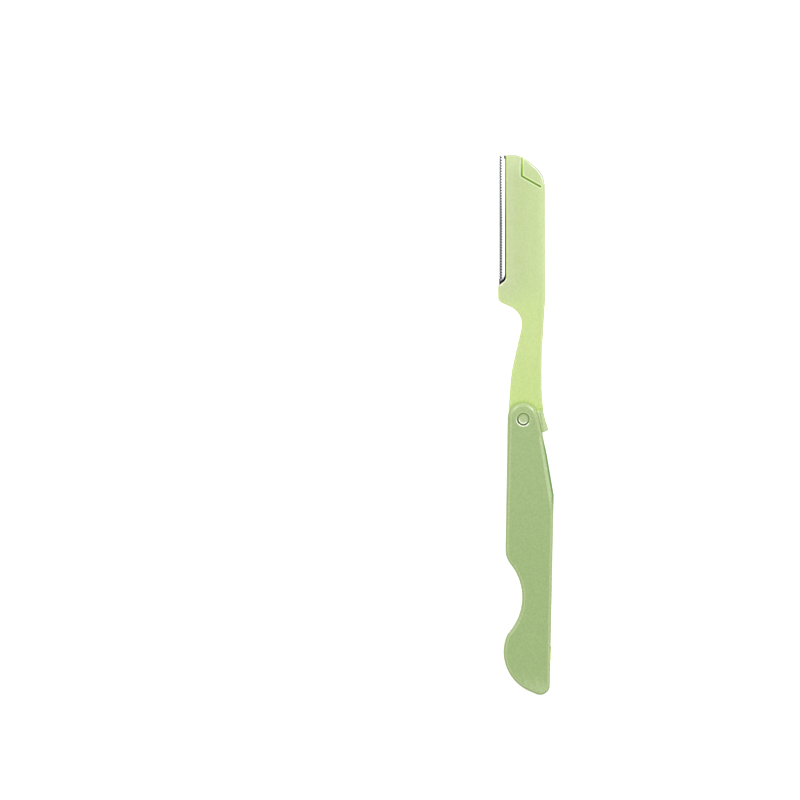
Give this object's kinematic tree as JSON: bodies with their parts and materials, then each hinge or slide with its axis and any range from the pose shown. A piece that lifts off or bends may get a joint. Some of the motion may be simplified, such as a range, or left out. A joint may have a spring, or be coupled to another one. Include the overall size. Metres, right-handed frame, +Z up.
{
  "type": "folding eyebrow razor",
  "caption": "Slim folding eyebrow razor: slotted green handle with a finger notch, translucent blade arm, and a steel blade with a comb guard.",
  "frame": {"origin": "middle of the open razor's box, on the lower face of the handle that it lies on", "axes": "+Y along the razor from butt to head, +Z up out of the upper face, cutting edge towards -X"},
  "size_m": [0.0162, 0.1582, 0.0052],
  "materials": {
    "handle_plastic": "fine satin moulded polypropylene, sage green, opaque",
    "pin_plastic": "smooth moulded acetal, pale sage green",
    "arm_plastic": "frosted translucent polypropylene, pale lime",
    "blade_steel": "stainless strip with ground bevels",
    "guard_steel": "bright rolled stainless foil, slotted"
  },
  "bodies": {
    "grip": {"handle": "handle_plastic", "pivot_pin": "pin_plastic"},
    "arm": {"blade_arm": "arm_plastic", "blade": "blade_steel", "guard_comb": "guard_steel"}
  },
  "joints": [
    {"name": "fold", "type": "hinge", "parent": "grip", "child": "arm", "pos_m": [-0.00082, 0.0016, 0.0026], "axis": [0, 0, 1], "range_deg": [0, 179]}
  ]
}
